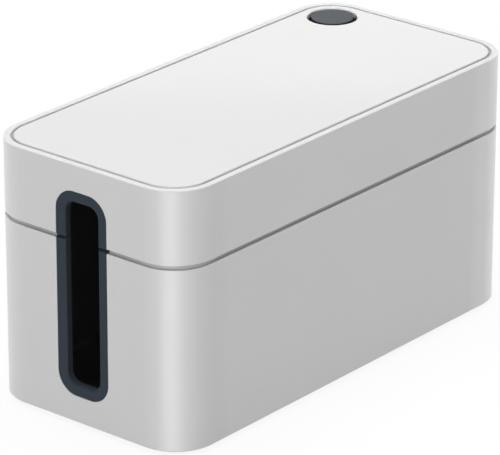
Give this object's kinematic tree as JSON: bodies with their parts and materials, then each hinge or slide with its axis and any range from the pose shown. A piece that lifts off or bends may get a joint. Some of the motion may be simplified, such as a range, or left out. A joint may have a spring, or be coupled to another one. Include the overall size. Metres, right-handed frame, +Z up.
{
  "type": "cable management box",
  "caption": "Desktop box that hides a power strip and spare cable: open tray, lift-off lid with a plugged cable port, and a trimmed cable slot at each end.",
  "frame": {"origin": "on the table, under the middle of the box", "axes": "+X along the box from the front slot to the rear one, +Y across it towards the side that has the port, +Z up"},
  "size_m": [0.246, 0.116, 0.128],
  "materials": {
    "shell_white": "white moulded plastic, fine satin grain",
    "trim_soft": "dark blue-grey soft moulding, matt",
    "plug_soft": "mid-grey soft moulding, matt",
    "foot_soft": "dark soft foot, matt"
  },
  "bodies": {
    "tray": {"base_shell": "shell_white", "slot_trim_front_lower": "trim_soft", "slot_trim_rear_lower": "trim_soft", "foot_front_right": "foot_soft", "foot_front_left": "foot_soft", "foot_rear_right": "foot_soft", "foot_rear_left": "foot_soft"},
    "lid": {"lid_shell": "shell_white", "slot_trim_front_upper": "trim_soft", "slot_trim_rear_upper": "trim_soft"},
    "plug": {"port_plug": "plug_soft"}
  },
  "joints": [
    {"name": "lid_lift", "type": "slide", "parent": "tray", "child": "lid", "axis": [0, 0, 1], "range_m": [0, 0.08]},
    {"name": "plug_lift", "type": "slide", "parent": "lid", "child": "plug", "axis": [0, 0, 1], "range_m": [0, 0.02]}
  ]
}
